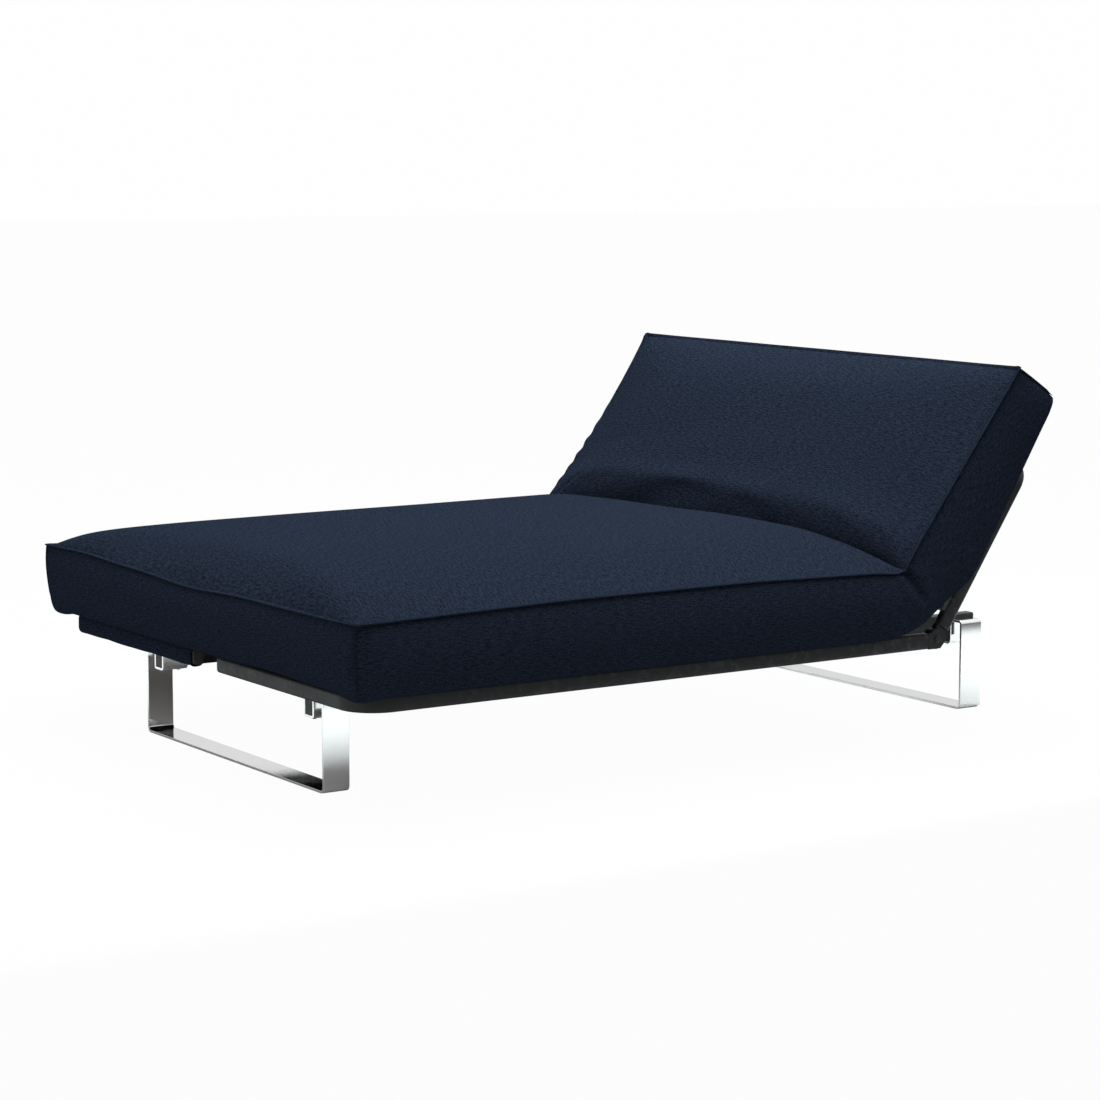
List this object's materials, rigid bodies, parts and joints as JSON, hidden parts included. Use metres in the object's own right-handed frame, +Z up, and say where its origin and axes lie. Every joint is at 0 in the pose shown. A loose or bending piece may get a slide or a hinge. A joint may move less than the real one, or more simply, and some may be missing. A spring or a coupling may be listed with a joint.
{
  "type": "futon sofa bed",
  "caption": "Lounger sofa bed: a mattress on a black tube frame with a latched folding back, carried by base rails on bent chrome sled legs.",
  "frame": {"origin": "on the floor, at the middle of the box around the whole object", "axes": "+Z up, +X to the right of someone at the foot end looking at the back, +Y from the foot end to the head end"},
  "size_m": [1.4, 1.848, 0.8134],
  "materials": {
    "leg_chrome": "polished",
    "frame_steel": "satin",
    "zinc_steel": "satin",
    "end_plastic": "matte",
    "socket_plastic": "matte",
    "slat_wood": "satin",
    "cover_fabric": "matte",
    "sleeve_fabric": "matte"
  },
  "bodies": {
    "base": {"base_rail_left": "frame_steel", "base_rail_right": "frame_steel", "crossbar_bolt_front_left": "zinc_steel", "crossbar_bolt_front_right": "zinc_steel", "crossbar_bolt_rear_left": "zinc_steel", "crossbar_bolt_rear_right": "zinc_steel", "foot_sleeve": "sleeve_fabric", "front_cradle_bolt_1": "zinc_steel", "front_cradle_bolt_2": "zinc_steel", "front_cradle_bolt_3": "zinc_steel", "front_cradle_bolt_4": "zinc_steel", "front_leg": "leg_chrome", "hinge_inner_plate_left": "frame_steel", "hinge_inner_plate_right": "frame_steel", "hinge_outer_plate_left": "frame_steel", "hinge_outer_plate_right": "frame_steel", "hinge_rivet_left": "frame_steel", "hinge_rivet_right": "frame_steel", "latch_housing_left": "zinc_steel", "latch_housing_right": "zinc_steel", "latch_spring_left": "zinc_steel", "latch_spring_right": "zinc_steel", "rail_cap_front_left": "end_plastic", "rail_cap_front_right": "end_plastic", "rail_cap_rear_left": "end_plastic", "rail_cap_rear_right": "end_plastic", "rear_cradle_bolt_1": "zinc_steel", "rear_cradle_bolt_2": "zinc_steel", "rear_cradle_bolt_3": "zinc_steel", "rear_cradle_bolt_4": "zinc_steel", "rear_leg": "leg_chrome", "seat_crossbar_front": "frame_steel", "seat_crossbar_rear": "frame_steel", "seat_cushion": "cover_fabric", "seat_slat_1": "slat_wood", "seat_slat_2": "slat_wood", "seat_slat_3": "slat_wood", "seat_slat_4": "slat_wood", "seat_slat_5": "slat_wood", "seat_slat_6": "slat_wood", "seat_slat_7": "slat_wood", "seat_slat_8": "slat_wood", "seat_slat_rail_left": "socket_plastic", "seat_slat_rail_right": "socket_plastic", "seat_tube_left": "frame_steel", "seat_tube_plug_left": "end_plastic", "seat_tube_plug_right": "end_plastic", "seat_tube_right": "frame_steel"},
    "back": {"back_crossbar": "frame_steel", "back_cushion": "cover_fabric", "back_hinge_arm_left": "frame_steel", "back_hinge_arm_right": "frame_steel", "back_slat_1": "slat_wood", "back_slat_2": "slat_wood", "back_slat_3": "slat_wood", "back_slat_rail_left": "socket_plastic", "back_slat_rail_right": "socket_plastic", "back_tube": "frame_steel"},
    "latch_left": {"latch_block_left": "zinc_steel"},
    "latch_right": {"latch_block_right": "zinc_steel"}
  },
  "joints": [
    {"name": "back_fold", "type": "hinge", "parent": "base", "child": "back", "pos_m": [0, 0.57, 0.223], "axis": [1, 0, 0], "range_deg": [-56, 22]},
    {"name": "latch_left_slide", "type": "slide", "parent": "base", "child": "latch_left", "axis": [0, 1, 0], "range_m": [0, 0.0024]},
    {"name": "latch_right_slide", "type": "slide", "parent": "base", "child": "latch_right", "axis": [0, 1, 0], "range_m": [0, 0.0024]}
  ]
}
